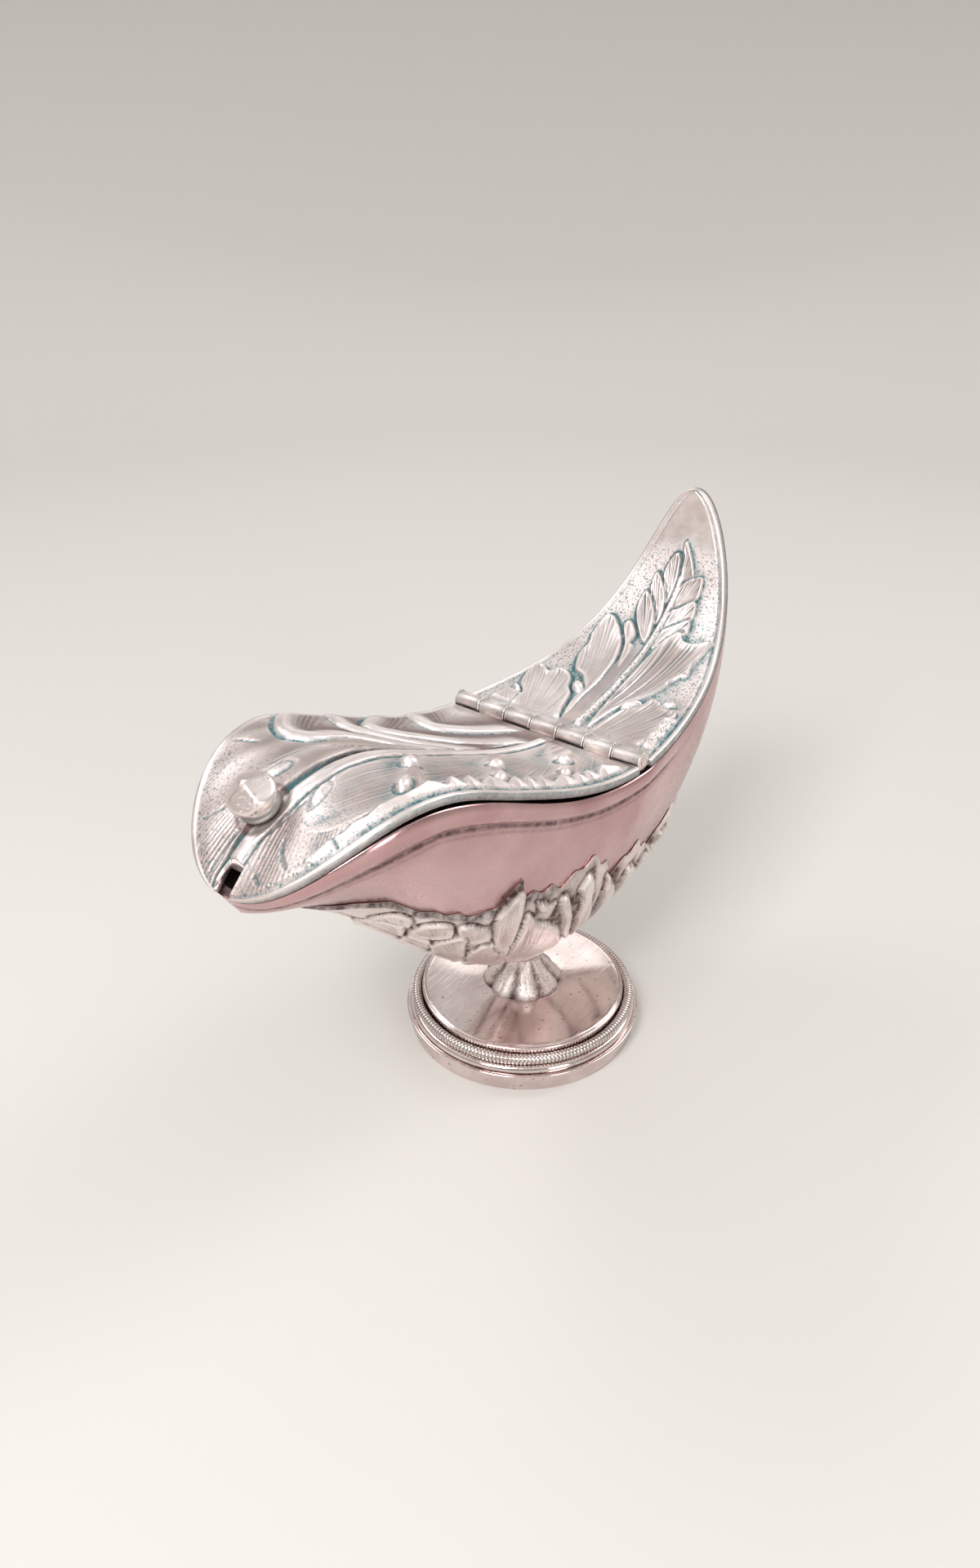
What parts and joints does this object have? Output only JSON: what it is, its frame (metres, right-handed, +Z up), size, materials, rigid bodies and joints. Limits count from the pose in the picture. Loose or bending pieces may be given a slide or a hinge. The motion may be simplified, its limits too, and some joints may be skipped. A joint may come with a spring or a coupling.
{
  "type": "incense boat",
  "caption": "Boat-shaped incense vessel on a round stepped foot, with a leaf-carved stern deck and a hinged leaf-carved lid with bud knob and spoon notch.",
  "frame": {"origin": "centre of the foot's underside, on the surface the boat stands on", "axes": "+Z up, +X to the raised stern, +Y to the boat's left"},
  "size_m": [0.177, 0.065, 0.1326],
  "materials": {
    "cast_silver": "cast brass, silvered and worn, dark in the recesses",
    "polished_silver": "turned brass, silvered and polished",
    "brass_fixing": "plain turned brass"
  },
  "bodies": {
    "boat": {"hull": "cast_silver", "leaf_calyx": "cast_silver", "stern_deck": "cast_silver", "deck_knuckle_1": "polished_silver", "deck_knuckle_2": "polished_silver", "deck_knuckle_3": "polished_silver", "deck_knuckle_4": "polished_silver", "hinge_pin": "polished_silver", "neck": "cast_silver", "foot": "polished_silver", "milled_ring": "polished_silver", "tie_rod": "brass_fixing", "bowl_washer": "brass_fixing", "tie_washer": "brass_fixing", "tie_nut": "brass_fixing"},
    "lid": {"lid": "cast_silver", "knob": "polished_silver", "knob_screw": "brass_fixing", "knob_washer": "brass_fixing", "lid_knuckle_1": "polished_silver", "lid_knuckle_2": "polished_silver", "lid_knuckle_3": "polished_silver"}
  },
  "joints": [
    {"name": "lid_hinge", "type": "hinge", "parent": "boat", "child": "lid", "pos_m": [0.0087, 0, 0.087], "axis": [0, 1, 0], "range_deg": [0, 120]}
  ]
}
